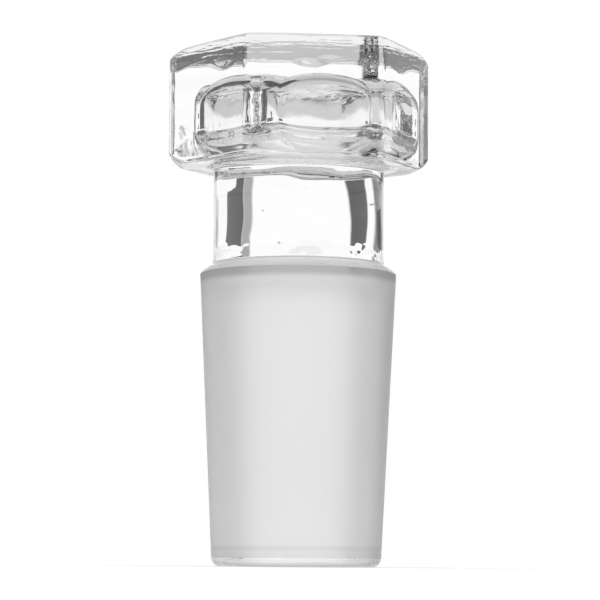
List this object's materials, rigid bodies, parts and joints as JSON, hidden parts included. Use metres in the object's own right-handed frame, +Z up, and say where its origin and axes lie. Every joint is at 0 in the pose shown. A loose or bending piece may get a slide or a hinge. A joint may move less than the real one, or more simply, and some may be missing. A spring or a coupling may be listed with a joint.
{
  "type": "glass stopper",
  "caption": "Clear glass stopper with a hexagonal grip head, a round neck and a frosted ground taper plug that seals a standard-taper socket.",
  "frame": {"origin": "centre of the flat face at the narrow end of the plug", "axes": "+Z up the stopper's axis from the plug to the head, two flats of the hexagonal head facing +Y and -Y"},
  "size_m": [0.0254, 0.0222, 0.0496],
  "materials": {
    "glass": "clear and fire-polished on the head, neck and rim; finely ground and frosted on the taper plug"
  },
  "bodies": {
    "root": {"stopper": "glass"}
  },
  "joints": []
}
